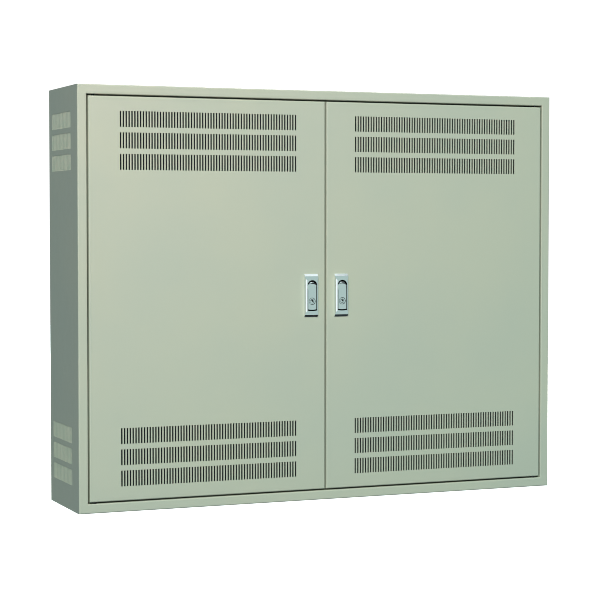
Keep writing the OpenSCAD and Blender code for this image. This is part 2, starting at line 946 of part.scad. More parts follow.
module lock_cam() {
  color(zinc) {
    difference() {
      slab(cam_front, cam_back)
        translate([key_x, -key_drop]) circle(cam_pin_circle + cam_pin_r + cam_rim);
      slab(cam_front - over, cam_back + over)
        translate([key_x, -key_drop]) square(drive_w, center = true);
    }
    slab(cam_back, rod_back + cam_rim / 2) cam_pin_places() circle(cam_pin_r);
  }
}
module left_lock_cam() { lock_cam(); }
module right_lock_cam() { right_hand() lock_cam(); }

module cam_screw() {
  color(steel) {
    round_y(key_x, -key_drop, cam_back - cam_screw_l, cam_back, cam_screw_r);
    seat_y(key_x, -key_drop, cam_back) pan_head(cam_screw_r);
  }
}
module left_cam_screw() { cam_screw(); }
module right_cam_screw() { right_hand() cam_screw(); }

// A flat bar with the cam pin's slot at its foot and a tapered tip, for a foot that lies at at_z
module rod(at_z) {
  tip = rod_w / 4;
  color(zinc)
    difference() {
      slab(rod_front, rod_back)
        polygon([
          [-rod_w / 2, at_z - rod_foot],
          [rod_w / 2, at_z - rod_foot],
          [rod_w / 2, rod_end_z - tip],
          [rod_w / 2 - tip, rod_end_z],
          [tip - rod_w / 2, rod_end_z],
          [-rod_w / 2, rod_end_z - tip]
        ]);
      slab(rod_front - over, rod_back + over)
        translate([0, at_z]) square([rod_slot_w, rod_slot_h], center = true);
    }
}

module upper_rod() { translate([key_x + rod_off, 0, 0]) rod(-key_drop - cam_travel / 2); }
module lower_rod() { translate([key_x - rod_off, 0, 0]) mirror([0, 0, 1]) rod(key_drop - cam_travel / 2); }
module left_upper_rod() { upper_rod(); }
module right_upper_rod() { right_hand() upper_rod(); }
module left_lower_rod() { lower_rod(); }
module right_lower_rod() { right_hand() lower_rod(); }

left_side_panel();
right_side_panel();
top_panel();
bottom_panel();
back_panel();
wall_doublers();
equipment_plate();
plate_studs();
plate_nuts();
earth_stud();
earth_nut();
cable_cover();
cover_screws();
left_frame_hinge_plates();
right_frame_hinge_plates();
left_upper_pin();
right_upper_pin();
left_lower_pin();
right_lower_pin();
left_magnet_catches();
right_magnet_catches();
left_bumpers();
right_bumpers();
left_door();
right_door();
left_upper_stiffener();
right_upper_stiffener();
left_lower_stiffener();
right_lower_stiffener();
left_door_hinge_plates();
right_door_hinge_plates();
left_guide_brackets();
right_guide_brackets();
left_rod_guides();
right_rod_guides();
left_catch_strikes();
right_catch_strikes();
left_handle_base();
right_handle_base();
left_handle_screws();
right_handle_screws();
left_lock_barrel();
right_lock_barrel();
left_barrel_nut();
right_barrel_nut();
left_lever();
right_lever();
left_lever_pin();
right_lever_pin();
left_key_plug();
right_key_plug();
left_lock_cam();
right_lock_cam();
left_cam_screw();
right_cam_screw();
left_upper_rod();
right_upper_rod();
left_lower_rod();
right_lower_rod();
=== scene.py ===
"""Looks of a wall-mount vented cabinet: materials, finer pieces, edges, studio light and camera.

Everything is in metres, in the CAD model's frame: X to the right, +Y into the wall, Z up.
"""
import json
import math

import bmesh
import bpy
from mathutils import Matrix, Vector


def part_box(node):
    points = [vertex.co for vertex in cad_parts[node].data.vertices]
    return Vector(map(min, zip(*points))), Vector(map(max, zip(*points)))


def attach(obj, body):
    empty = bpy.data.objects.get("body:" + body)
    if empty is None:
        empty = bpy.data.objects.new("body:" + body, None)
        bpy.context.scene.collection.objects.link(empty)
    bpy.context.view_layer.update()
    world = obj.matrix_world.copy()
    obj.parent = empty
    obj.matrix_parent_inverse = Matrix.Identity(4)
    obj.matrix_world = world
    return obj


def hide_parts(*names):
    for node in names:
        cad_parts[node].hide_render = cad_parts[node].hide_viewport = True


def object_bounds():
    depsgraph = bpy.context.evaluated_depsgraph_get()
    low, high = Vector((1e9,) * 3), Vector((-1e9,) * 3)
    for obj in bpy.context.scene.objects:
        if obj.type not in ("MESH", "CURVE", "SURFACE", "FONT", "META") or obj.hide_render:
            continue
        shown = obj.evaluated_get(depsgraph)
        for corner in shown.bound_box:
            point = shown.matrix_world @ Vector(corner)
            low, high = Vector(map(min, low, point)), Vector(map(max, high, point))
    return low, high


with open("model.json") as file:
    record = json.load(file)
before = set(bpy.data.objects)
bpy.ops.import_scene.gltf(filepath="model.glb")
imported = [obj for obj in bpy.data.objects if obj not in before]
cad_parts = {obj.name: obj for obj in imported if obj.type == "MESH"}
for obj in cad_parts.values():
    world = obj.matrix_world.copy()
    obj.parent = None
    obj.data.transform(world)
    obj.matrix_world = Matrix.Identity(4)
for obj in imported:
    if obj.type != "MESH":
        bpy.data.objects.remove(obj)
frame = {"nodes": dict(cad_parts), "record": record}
cad_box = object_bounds()
nodes = frame["nodes"]

# Camera, as solved from the cabinet's corners in the photograph
IMAGE_PX = 598
FOCAL_PX = 1861
SENSOR_MM = 36
CAMERA_AT = Vector((-1.441, -3.542, 0.146))
HEADING_DEG = 22.5
PITCH_DEG = -2.39
PIXEL_FILTER = 0.9

# Paint and metal colours, linear
PAINT_WARM = (0.500, 0.490, 0.385, 1)
PAINT_COOL = (0.470, 0.475, 0.385, 1)
CHROME_TINT = (0.80, 0.84, 0.86, 1)
ZINC_LIGHT = (0.60, 0.61, 0.60, 1)
ZINC_DARK = (0.51, 0.52, 0.52, 1)
STEEL_TINT = (0.42, 0.42, 0.43, 1)
BLACK_STEEL_TINT = (0.03, 0.03, 0.032, 1)
BRASS_TINT = (0.70, 0.50, 0.20, 1)
MESH_LIGHT = (0.020, 0.020, 0.021, 1)
MESH_DARK = (0.004, 0.004, 0.004, 1)
RUBBER_TINT = (0.018, 0.018, 0.019, 1)
PLASTIC_TINT = (0.022, 0.022, 0.024, 1)
NYLON_LIGHT = (0.74, 0.72, 0.64, 1)
NYLON_DARK = (0.66, 0.63, 0.55, 1)
FLOOR_TINT = (0.93, 0.93, 0.92, 1)
AMBIENT_TINT = (0.65, 0.84, 1.0, 1)
# Painted shade: near-black for the keyway, the lever's pocket and the discs behind the bolt holes
PAINTED_SHADE_TINT = (0.012, 0.012, 0.012, 1)

# Roughness and scratches of the chrome, crystals of the zinc, and the usual span of noise
CHROME_ROUGH = (0.06, 0.12)
CHROME_SCRATCH = 0.05
SPANGLE_SCALE = 110.0
NOISE_SPAN = (0.3, 0.7)

# Brightness of the world, the backdrop and the floor, and the floor's size and place in metres
AMBIENT_STRENGTH = 0.222
BACKDROP_STRENGTH = 1.1
FLOOR_GLOW = 0.85
FLOOR_SIZE = 9.0
FLOOR_Y = 1.5

# The handles' place, which the reflection cards face
HANDLES_AT = (0, -0.2, 0)

# Painted shade in the chrome, in metres: depth behind the plug's face from which the keyway is painted
# dark, and depth and gaps of the lever's pocket that is painted dark
KEYWAY_SHADE_DEPTH = 0.0003
POCKET_SHADE = 0.0015
POCKET_GAP = 0.0006
POCKET_END_GAP = 0.0017
POCKET_BLEND = 0.0002

# Distance of the painted-shade discs behind the bolt holes from the back, and a millimetre, in metres
SHADE_DISC_GAP = 0.0003
MM = 0.001

# Pull lever, in metres: depths behind its face with the inset of its outline there, arch, scoop and holes
LEVER_LEVELS = ((0.0065, 0.0006), (0.0040, 0.0001), (0.0014, 0.0005), (0.0, 0.0010))
LEVER_CROWN_INSET = 0.0009
LEVER_CROWN_CHAMFER = 0.0013
LEVER_BOW = 0.045
ARCH_STEPS = 32
SCOOP_HALF = 0.0098
SCOOP_RISE = 0.0074
SCOOP_FLOOR_HALF = 0.0091
SCOOP_FLOOR_RISE = 0.0048
SCOOP_DEPTH = 0.0020
SCOOP_RUNOUT = 0.0100
BARREL_HOLE_R = 0.0069
PIN_HOLE_R = 0.0017

# Key plug, in metres: face, play in the barrel, keyway, square drive and screw hole
PLUG_CHAMFER = 0.0004
PLUG_PLAY = 0.0002
KEYWAY_HALF = (0.0013, 0.0026)
KEYWAY_SHIFT = (0.0005, 0.0010)
KEYWAY_TILT_DEG = 40
KEYWAY_LENGTH = 0.005
DRIVE_HALF = 0.0025
DRIVE_REACH = 0.006
SCREW_HOLE_R = 0.0015
SCREW_HOLE_L = 0.008

# How far cutters reach past a surface, and the angle at which a cut edge is sharp
CUT_OVER = 0.0004
SHARP_DEG = 25

# Vent fields in the doors and sides, in metres, as in the CAD model
VENT_EDGE = 0.027
VENT_H = 0.110
DOOR_VENT_HALF = 0.1779
SIDE_VENT_HALF = 0.0659
SIDE_VENT_Y = -0.087
SHEET = 0.0016

# Screens behind the vents, in metres: margin, corner, depth with inset, caps and weave
SCREEN_MARGIN = 0.005
SCREEN_CORNER = 0.004
SCREEN_STEPS = ((0.0002, 0.0), (0.0010, 0.0), (0.0010, 0.0030), (0.0020, 0.0036))
CAP_PROFILE = ((0.0010, 0.0022), (0.0016, 0.0021), (0.0020, 0.0012))
CAP_INSET = 0.0024
WEAVE_PITCH = 0.0016

# Studs, in metres: radii, thread and chamfer
STUD_R = 0.004
SPACER_R = 0.008
THREAD_PITCH = 0.00125
THREAD_DEPTH = 0.00077
THREAD_ROWS = 8
FLANK_SLOPE = 1.3
CHAMFER = 0.0006
ROUND_STEPS = 32
CORNER_STEPS = 6

# Widths of softened edges, in metres, and the angle from which an edge is softened
HANDLE_EDGE = 0.0006
MOULDED_EDGE = 0.0008
SHEET_EDGE = 0.0004
METAL_EDGE = 0.0003
EDGE_DEG = 30


def new_material(name, **sockets):
    """A Principled material with the given shader sockets set, and its node tree."""
    mat = bpy.data.materials.new(name)
    mat.use_nodes = True
    shader = mat.node_tree.nodes["Principled BSDF"]
    for socket, value in sockets.items():
        shader.inputs[socket.replace("_", " ")].default_value = value
    return mat, mat.node_tree, shader


def noise(tree, scale, detail=4.0, stretch=(1, 1, 1)):
    """Noise in the object's own metres, stretched along its axes."""
    coords = tree.nodes.new("ShaderNodeTexCoord")
    mapping = tree.nodes.new("ShaderNodeMapping")
    mapping.inputs["Scale"].default_value = stretch
    tree.links.new(coords.outputs["Object"], mapping.inputs["Vector"])
    texture = tree.nodes.new("ShaderNodeTexNoise")
    texture.inputs["Scale"].default_value = scale
    texture.inputs["Detail"].default_value = detail
    tree.links.new(mapping.outputs["Vector"], texture.inputs["Vector"])
    return texture.outputs["Fac"]


def ramp(tree, factor, low, high, span=(0.35, 0.65)):
    """A colour that runs from low to high as the factor crosses the span."""
    node = tree.nodes.new("ShaderNodeValToRGB")
    for element, place, colour in zip(node.color_ramp.elements, span, (low, high)):
        element.position = place
        element.color = colour
    tree.links.new(factor, node.inputs["Fac"])
    return node.outputs["Color"]


def spread(tree, factor, low, high):
    """A number that runs from low to high with the factor."""
    node = tree.nodes.new("ShaderNodeMapRange")
    node.inputs["From Min"].default_value = NOISE_SPAN[0]
    node.inputs["From Max"].default_value = NOISE_SPAN[1]
    node.inputs["To Min"].default_value = low
    node.inputs["To Max"].default_value = high
    tree.links.new(factor, node.inputs["Value"])
    return node.outputs["Result"]


def add_bump(tree, shader, height, strength, depth):
    node = tree.nodes.new("ShaderNodeBump")
    node.inputs["Strength"].default_value = strength
    node.inputs["Distance"].default_value = depth
    tree.links.new(height, node.inputs["Height"])
    tree.links.new(node.outputs["Normal"], shader.inputs["Normal"])


def powder_coat():
    """Semi-gloss baked paint with a faint orange peel."""
    mat, tree, shader = new_material("powder_coat", Coat_Weight=0.12, Coat_Roughness=0.25)
    colour = ramp(tree, noise(tree, 4.0), PAINT_COOL, PAINT_WARM)
    tree.links.new(colour, shader.inputs["Base Color"])
    tree.links.new(spread(tree, noise(tree, 60.0), 0.40, 0.48), shader.inputs["Roughness"])
    add_bump(tree, shader, noise(tree, 700.0, 2.0), 0.10, 0.0004)
    return mat


def polish(tree, shader, low, high, scratch):
    """Uneven roughness, and fine scratches along one direction."""
    tree.links.new(spread(tree, noise(tree, 90.0), low, high), shader.inputs["Roughness"])
    add_bump(tree, shader, noise(tree, 600.0, 3.0, (4, 4, 0.2)), scratch, 0.0001)


def polished(name, tint, low, high, scratch):
    """Polished metal of one colour."""
    mat, tree, shader = new_material(name, Base_Color=tint, Metallic=1.0)
    polish(tree, shader, low, high, scratch)
    return mat


def spangle(tree, scale):
    """A different shade for each crystal of the zinc."""
    coords = tree.nodes.new("ShaderNodeTexCoord")
    cells = tree.nodes.new("ShaderNodeTexVoronoi")
    cells.inputs["Scale"].default_value = scale
    tree.links.new(coords.outputs["Object"], cells.inputs["Vector"])
    shade = tree.nodes.new("ShaderNodeSeparateColor")
    tree.links.new(cells.outputs["Color"], shade.inputs["Color"])
    return shade.outputs["Red"]


def zinc_plate():
    """Zinc-coated sheet with faint crystals and rolling marks."""
    mat, tree, shader = new_material("zinc_plate", Metallic=1.0)
    crystals = spangle(tree, SPANGLE_SCALE)
    colour = ramp(tree, crystals, ZINC_DARK, ZINC_LIGHT, (0.0, 1.0))
    tree.links.new(colour, shader.inputs["Base Color"])
    both = calculate(tree, "ADD", crystals, noise(tree, 60.0))
    mottle = calculate(tree, "MULTIPLY", both, 0.5)
    tree.links.new(spread(tree, mottle, 0.34, 0.52), shader.inputs["Roughness"])
    add_bump(tree, shader, noise(tree, 400.0, 3.0, (0.1, 3, 3)), 0.12, 0.0002)
    return mat


def moulded(name, tint, roughness, grain):
    """Moulded rubber or plastic with a fine grain."""
    mat, tree, shader = new_material(name, Base_Color=tint)
    tree.links.new(
        spread(tree, noise(tree, 200.0), roughness - 0.06, roughness + 0.06),
        shader.inputs["Roughness"],
    )
    add_bump(tree, shader, noise(tree, grain, 3.0), 0.2, 0.0003)
    return mat


def nylon():
    """Pale moulded nylon, slightly see-through."""
    mat, tree, shader = new_material("nylon", Roughness=0.45, Subsurface_Weight=0.05)
    colour = ramp(tree, noise(tree, 60.0), NYLON_DARK, NYLON_LIGHT)
    tree.links.new(colour, shader.inputs["Base Color"])
    add_bump(tree, shader, noise(tree, 900.0, 2.0), 0.15, 0.0002)
    return mat


def axes_of(tree):
    """The object's own coordinates, one socket for each axis."""
    coords = tree.nodes.new("ShaderNodeTexCoord")
    axes = tree.nodes.new("ShaderNodeSeparateXYZ")
    tree.links.new(coords.outputs["Object"], axes.inputs["Vector"])
    return axes.outputs


def rise(tree, value, start, end):
    """Runs from 0 to 1 as a value goes from start to end."""
    node = tree.nodes.new("ShaderNodeMapRange")
    node.inputs["From Min"].default_value = start
    node.inputs["From Max"].default_value = end
    tree.links.new(value, node.inputs["Value"])
    return node.outputs["Result"]


def calculate(tree, operation, first, second):
    """A Math node on a socket and a socket or number."""
    node = tree.nodes.new("ShaderNodeMath")
    node.operation = operation
    tree.links.new(first, node.inputs[0])
    if isinstance(second, float):
        node.inputs[1].default_value = second
    else:
        tree.links.new(second, node.inputs[1])
    return node.outputs[0]


def chrome_with_painted_shade(name):
    """Chrome with a node tree whose painted shade is still to be linked."""
    mat, tree, shader = new_material(name, Metallic=1.0)
    polish(tree, shader, *CHROME_ROUGH, CHROME_SCRATCH)
    return mat, tree, shader


def key_face_painted_shade():
    """Chrome with painted shade: near-black deeper than a fraction of a millimetre behind the plug's
    front face, so the keyway and the plug's back read as shaded.
    """
    mat, tree, shader = chrome_with_painted_shade("key_face_painted_shade")
    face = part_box("left_key_plug")[0][1]
    depth = rise(tree, axes_of(tree)["Y"], face, face + KEYWAY_SHADE_DEPTH)
    # Painted shade: the chrome turns near-black with depth behind the plug's face
    colour = ramp(tree, depth, CHROME_TINT, PAINTED_SHADE_TINT, (0.2, 0.8))
    tree.links.new(colour, shader.inputs["Base Color"])
    return mat


def handle_chrome_painted_shade():
    """Chrome with painted shade: near-black deep in the pocket round the lever, where the gap between
    lever and base lies in shade.
    """
    mat, tree, shader = chrome_with_painted_shade("handle_chrome_painted_shade")
    low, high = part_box("left_lever")
    axes = axes_of(tree)
    from_middle = calculate(tree, "ABSOLUTE", axes["X"], 0.0)
    across = calculate(tree, "SUBTRACT", from_middle, -(low[0] + high[0]) / 2)
    across = calculate(tree, "ABSOLUTE", across, 0.0)
    half = (high[0] - low[0]) / 2 + POCKET_GAP
    depth = rise(tree, axes["Y"], low[1], low[1] + POCKET_SHADE)
    side = rise(tree, across, half + POCKET_BLEND, half)
    bottom = rise(tree, axes["Z"], low[2] - POCKET_END_GAP - POCKET_BLEND, low[2] - POCKET_END_GAP)
    top = rise(tree, axes["Z"], high[2] + POCKET_END_GAP + POCKET_BLEND, high[2] + POCKET_END_GAP)
    pocket_shade_mask = calculate(tree, "MULTIPLY", depth, side)
    pocket_shade_mask = calculate(tree, "MULTIPLY", pocket_shade_mask, bottom)
    pocket_shade_mask = calculate(tree, "MULTIPLY", pocket_shade_mask, top)
    # Painted shade: near-black wherever the pocket mask is full
    colour = ramp(tree, pocket_shade_mask, CHROME_TINT, PAINTED_SHADE_TINT, (0.1, 0.9))
    tree.links.new(colour, shader.inputs["Base Color"])
    return mat


def woven_mesh():
    """Black coated insect mesh in a plain weave."""
    mat, tree, shader = new_material("woven_mesh", Roughness=0.85, Specular_IOR_Level=0.15)
    axes = axes_of(tree)
    turns = math.tau / WEAVE_PITCH
    across = calculate(tree, "ADD", axes["X"], axes["Y"])
    warp = calculate(tree, "SINE", calculate(tree, "MULTIPLY", across, turns), 0.0)
    weft = calculate(tree, "SINE", calculate(tree, "MULTIPLY", axes["Z"], turns), 0.0)
    weave = calculate(tree, "MULTIPLY", warp, weft)
    height = rise(tree, weave, -1.0, 1.0)
    colour = ramp(tree, height, MESH_DARK, MESH_LIGHT, (0.2, 0.9))
    tree.links.new(colour, shader.inputs["Base Color"])
    add_bump(tree, shader, height, 0.6, 0.0004)
    return mat


def make_looks():
    """One material for each slot of the record."""
    return {
        "paint": powder_coat(),
        "chrome": polished("chrome", CHROME_TINT, *CHROME_ROUGH, CHROME_SCRATCH),
        "zinc": zinc_plate(),
        "steel": polished("turned_steel", STEEL_TINT, 0.22, 0.34, 0.15),
        "black_steel": polished("black_steel", BLACK_STEEL_TINT, 0.4, 0.5, 0.15),
        "brass": polished("brass", BRASS_TINT, 0.24, 0.36, 0.15),
        "rubber": moulded("rubber", RUBBER_TINT, 0.75, 500.0),
        "black_plastic": moulded("black_plastic", PLASTIC_TINT, 0.5, 800.0),
        "nylon": nylon(),
    }


def dress_nodes(looks):
    """Gives each CAD node the material of its slot in the record, or one of its own."""
    # Handle bases take chrome with painted shade in the lever's pocket
    own = {"handle_base": handle_chrome_painted_shade()}
    for subpart in frame["record"]["subparts"]:
        mesh = nodes[subpart["node"]].data
        mesh.materials.clear()
        kind = subpart["node"].partition("_")[2]
        mesh.materials.append(own.get(kind, looks[subpart["material_slot"]]))


def ring(radius_at, height):
    """Points round the local Z axis at a height, with a radius for each share of a turn."""
    points = []
    for step in range(ROUND_STEPS):
        turn = step / ROUND_STEPS
        radius = radius_at(turn)
        angle = turn * math.tau
        points.append(Vector((radius * math.cos(angle), radius * math.sin(angle), height)))
    return points


def skin(bm, matrix, rings):
    """A closed solid through rings of equally many points, put in place by a matrix."""
    count = len(rings[0])
    loops = [[bm.verts.new(matrix @ point) for point in points] for points in rings]
    for low, high in zip(loops, loops[1:]):
        for step in range(count):
            after = (step + 1) % count
            bm.faces.new((low[step], low[after], high[after], high[step]))
    bm.faces.new(reversed(loops[0]))
    bm.faces.new(loops[-1])


def spacer_rings(length):
    """A turned spacer with chamfered edges."""
    profile = (
        (SPACER_R - CHAMFER, 0),
        (SPACER_R, CHAMFER),
        (SPACER_R, length - CHAMFER),
        (SPACER_R - CHAMFER, length),
    )
    return [ring(lambda turn, r=radius: r, height) for radius, height in profile]


def thread_rings(start, length):
    """A threaded rod from a height, with a chamfered end."""
    rows = round(THREAD_ROWS * length / THREAD_PITCH)
    rings = []
    for row in range(rows + 1):
        height = length * row / rows
        most = min(STUD_R, STUD_R - CHAMFER + length - height)

        def flank(turn, height=height, most=most):
            phase = (height / THREAD_PITCH - turn) % 1.0
            crest = min(1.0, FLANK_SLOPE * (1.0 - abs(2.0 * phase - 1.0)))
            return min(most, STUD_R - THREAD_DEPTH * (1.0 - crest))

        rings.append(ring(flank, start + height))
    return rings


def add_studs(name, node, seat_y, places, look):
    """Spacers with threaded studs, from the back panel's inner face, in place of a plain node."""
    low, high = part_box(node)
    foot = high[1] - seat_y
    bm = bmesh.new()
    for x, z in places:
        matrix = Matrix.Translation((x, high[1], z)) @ Matrix.Rotation(math.radians(90), 4, "X")
        skin(bm, matrix, spacer_rings(foot))
        skin(bm, matrix, thread_rings(foot, high[1] - low[1] - foot))
    bmesh.ops.recalc_face_normals(bm, faces=bm.faces)
    studs = to_object(name, bm)
    studs.data.materials.append(look)
    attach(studs, "cabinet")
    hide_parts(node)


def add_plate_studs(looks):
    """The four studs that carry the equipment plate."""
    low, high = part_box("plate_studs")
    columns = (low[0] + SPACER_R, high[0] - SPACER_R)
    levels = (low[2] + SPACER_R, high[2] - SPACER_R)
    places = [(x, z) for x in columns for z in levels]
    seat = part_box("equipment_plate")[1][1]
    add_studs("threaded_studs", "plate_studs", seat, places, looks["zinc"])


def add_earth_stud(looks):
    """The brass stud for the earth lead."""
    low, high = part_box("earth_stud")
    place = ((low[0] + high[0]) / 2, (low[2] + high[2]) / 2)
    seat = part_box("earth_nut")[1][1]
    add_studs("threaded_earth_stud", "earth_stud", seat, [place], looks["brass"])


def lever_ring(low, high, depth, inset):
    """The lever's outline at a depth behind its face: arched top and slightly bowed lower end."""
    middle = (low[0] + high[0]) / 2
    half = (high[0] - low[0]) / 2 - inset
    crown = high[2] - (high[0] - low[0]) / 2 - LEVER_CROWN_INSET
    y = low[1] + depth
    points = []
    for step in range(ARCH_STEPS + 1):
        angle = math.pi * step / ARCH_STEPS
        rise_here = half if depth else half - LEVER_CROWN_CHAMFER
        points.append(Vector((middle + half * math.cos(angle), y, crown + rise_here * math.sin(angle))))
    for step in range(ARCH_STEPS + 1):
        x = half * (2 * step / ARCH_STEPS - 1)
        bow = LEVER_BOW - math.sqrt(LEVER_BOW ** 2 - x ** 2)
        points.append(Vector((middle + x, y, low[2] + inset + bow)))
    return points


def hull(name, points):
    """The solid that just holds all the points."""
    bm = bmesh.new()
    for point in points:
        bm.verts.new(point)
    made = bmesh.ops.convex_hull(bm, input=bm.verts)
    loose = set(made["geom_interior"]) | set(made["geom_unused"])
    unused = [part for part in loose if isinstance(part, bmesh.types.BMVert)]
    bmesh.ops.delete(bm, geom=unused, context="VERTS")
    bmesh.ops.recalc_face_normals(bm, faces=bm.faces)
    return to_object(name, bm)


def to_object(name, bm):
    mesh = bpy.data.meshes.new(name)
    bm.to_mesh(mesh)
    bm.free()
    made = bpy.data.objects.new(name, mesh)
    bpy.context.collection.objects.link(made)
    return made


def circle_points(radius, place, along):
    """Points of a circle round an axis through a place."""
    turn = Vector(along).to_track_quat("Z", "Y")
    return [Vector(place) + turn @ point for point in ring(lambda _: radius, 0)]


def cut(piece, cutters):
    """Takes cutters out of a piece and removes them."""
    for cutter in cutters:
        change = piece.modifiers.new("cut", "BOOLEAN")
        change.object = cutter
        change.solver = "EXACT"
    bpy.context.view_layer.update()
    solved = piece.evaluated_get(bpy.context.evaluated_depsgraph_get())
    mesh = bpy.data.meshes.new_from_object(solved)
    piece.modifiers.clear()
    piece.data = mesh
    for cutter in cutters:
        bpy.data.objects.remove(cutter, do_unlink=True)
    mesh.shade_smooth()
    mesh.set_sharp_from_angle(angle=math.radians(SHARP_DEG))


def scoop_points(middle, face, level):
    """A thumb scoop, steep at its arched top and running out to the face below."""
    points = []
    for step in range(ARCH_STEPS + 1):
        angle = math.pi * step / ARCH_STEPS
        across = math.cos(angle)
        up = math.sin(angle)
        points.append((middle + SCOOP_HALF * across, face - CUT_OVER, level + SCOOP_RISE * up))
        floor_x = middle + SCOOP_FLOOR_HALF * across
        points.append((floor_x, face + SCOOP_DEPTH, level + SCOOP_FLOOR_RISE * up))
    for x in (-SCOOP_HALF, SCOOP_HALF):
        points.append((middle + x, face - CUT_OVER, level - SCOOP_RUNOUT))
    return points


def add_lever(side, look):
    """The pull lever with its thumb scoop, in place of the plainer node."""
    node = f"{side}_lever"
    low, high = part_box(node)
    middle = (low[0] + high[0]) / 2
    bm = bmesh.new()
    skin(bm, Matrix.Identity(4), [lever_ring(low, high, *level) for level in LEVER_LEVELS])
    bmesh.ops.recalc_face_normals(bm, faces=bm.faces)
    lever = to_object(f"{side}_pull_lever", bm)
    pin_low, pin_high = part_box(f"{side}_lever_pin")
    pin_at = [(pin_low[1] + pin_high[1]) / 2, (pin_low[2] + pin_high[2]) / 2]
    key_low, key_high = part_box(f"{side}_lock_barrel")
    key_z = (key_low[2] + key_high[2]) / 2
    barrel = circle_points(BARREL_HOLE_R, (middle, low[1] - CUT_OVER, key_z), (0, 1, 0))
    barrel += circle_points(BARREL_HOLE_R, (middle, high[1] + CUT_OVER, key_z), (0, 1, 0))
    pin = circle_points(PIN_HOLE_R, (low[0] - CUT_OVER, *pin_at), (1, 0, 0))
    pin += circle_points(PIN_HOLE_R, (high[0] + CUT_OVER, *pin_at), (1, 0, 0))
    scoop = scoop_points(middle, low[1], high[2] - (high[0] - low[0]) / 2 - LEVER_CROWN_INSET)
    cut(lever, [hull("barrel_cut", barrel), hull("pin_cut", pin), hull("scoop_cut", scoop)])
    lever.data.materials.append(look)
    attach(lever, node)
    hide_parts(node)


def bar_points(corners, front, back):
    """A bar along Y with the given corners in X and Z."""
    return [(x, y, z) for x, z in corners for y in (front, back)]


def turned(corners, c, s, x, z):
    """Corners turned by an angle's cosine and sine, then moved to a place."""
    return [(x + c * u - s * v, z + s * u + c * v) for u, v in corners]


def drive_cuts(x, z, front, back):
    """Four bars that leave a square drive behind a round plug."""
    corners = (
        (DRIVE_HALF, -DRIVE_REACH),
        (DRIVE_REACH, -DRIVE_REACH),
        (DRIVE_REACH, DRIVE_REACH),
        (DRIVE_HALF, DRIVE_REACH),
    )
    cuts = []
    for c, s in ((1, 0), (0, 1), (-1, 0), (0, -1)):
        bar = bar_points(turned(corners, c, s, x, z), front, back + CUT_OVER)
        cuts.append(hull("drive_cut", bar))
    return cuts


def keyway_cut(x, z, face):
    """A leaning slot in the plug's face."""
    across, up = KEYWAY_HALF
    corners = ((-across, -up), (across, -up), (across, up), (-across, up))
    lean = math.radians(KEYWAY_TILT_DEG)
    middle = (x + KEYWAY_SHIFT[0], z + KEYWAY_SHIFT[1])
    slot = turned(corners, math.cos(lean), math.sin(lean), *middle)
    return hull("keyway_cut", bar_points(slot, face - CUT_OVER, face + KEYWAY_LENGTH))


def add_key_plug(side, look):
    """The key plug, whose keyway leans the same way on both doors, in place of the plainer node."""
    node = f"{side}_key_plug"
    low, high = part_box(node)
    x = (low[0] + high[0]) / 2
    z = (low[2] + high[2]) / 2
    radius = (high[0] - low[0]) / 2 - PLUG_PLAY
    cam_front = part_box(f"{side}_lock_cam")[0][1]
    along = (0, 1, 0)
    body = circle_points(radius - PLUG_CHAMFER, (x, low[1], z), along)
    body += circle_points(radius, (x, low[1] + PLUG_CHAMFER, z), along)
    body += circle_points(radius, (x, high[1], z), along)
    plug = hull(f"{side}_key_core", body)
    hole = circle_points(SCREW_HOLE_R, (x, high[1] - SCREW_HOLE_L, z), along)
    hole += circle_points(SCREW_HOLE_R, (x, high[1] + CUT_OVER, z), along)
    drive = drive_cuts(x, z, cam_front, high[1])
    cut(plug, [keyway_cut(x, z, low[1]), hull("screw_cut", hole), *drive])
    plug.data.materials.append(look)
    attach(plug, f"{side}_key")
    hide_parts(node)


def rounded_ring(half_across, half_up, corner, depth):
    """A rectangle with rounded corners, in local across, up and depth."""
    points = []
    for quarter, (side, end) in enumerate(((1, 1), (-1, 1), (-1, -1), (1, -1))):
        for step in range(CORNER_STEPS + 1):
            angle = math.radians(90) * (quarter + step / CORNER_STEPS)
            across = side * (half_across - corner) + corner * math.cos(angle)
            up = end * (half_up - corner) + corner * math.sin(angle)
            points.append(Vector((across, up, depth)))
    return points


def add_screen(name, body, matrix, half_across, look):
    """A mesh tray behind a field of slots, held at its rim by push-on caps."""
    half_across += SCREEN_MARGIN
    half_up = VENT_H / 2 + SCREEN_MARGIN
    bm = bmesh.new()
    rings = []
    for depth, inset in SCREEN_STEPS:
        rings.append(rounded_ring(half_across - inset, half_up - inset, SCREEN_CORNER, depth))
    skin(bm, matrix, rings)
    for across in (CAP_INSET - half_across, 0, half_across - CAP_INSET):
        for up in (CAP_INSET - half_up, half_up - CAP_INSET):
            place = matrix @ Matrix.Translation((across, up, 0))
            skin(bm, place, [ring(lambda _, r=radius: r, depth) for depth, radius in CAP_PROFILE])
    bmesh.ops.recalc_face_normals(bm, faces=bm.faces)
    screen = to_object(name, bm)
    screen.data.materials.append(look)
    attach(screen, body)


def add_screens():
    """Screens behind the vents of both doors and both sides, at the top and bottom."""
    look = woven_mesh()
    vent_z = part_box("left_door")[1][2] - VENT_EDGE - VENT_H / 2
    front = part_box("left_door")[0][1] + SHEET
    for side, sign in (("left", -1), ("right", 1)):
        low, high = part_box(f"{side}_door")
        door_x = (low[0] + high[0]) / 2
        wall_x = sign * (cad_box[1][0] - SHEET)
        for level, z in (("upper", vent_z), ("lower", -vent_z)):
            door_at = facing((door_x, front, z), (0, -1, 0))
            add_screen(f"{side}_{level}_screen", f"{side}_door", door_at, DOOR_VENT_HALF, look)
            wall_at = facing((wall_x, SIDE_VENT_Y, z), (sign, 0, 0))
            add_screen(f"{side}_{level}_side_screen", "cabinet", wall_at, SIDE_VENT_HALF, look)


def soften_edges(node, width, steps=2):
    """Rounds the edges that catch the light on a node."""
    bevel = nodes[node].modifiers.new("soft_edges", "BEVEL")
    bevel.width = width
    bevel.segments = steps
    bevel.limit_method = "ANGLE"
    bevel.angle_limit = math.radians(EDGE_DEG)
    bevel.harden_normals = True


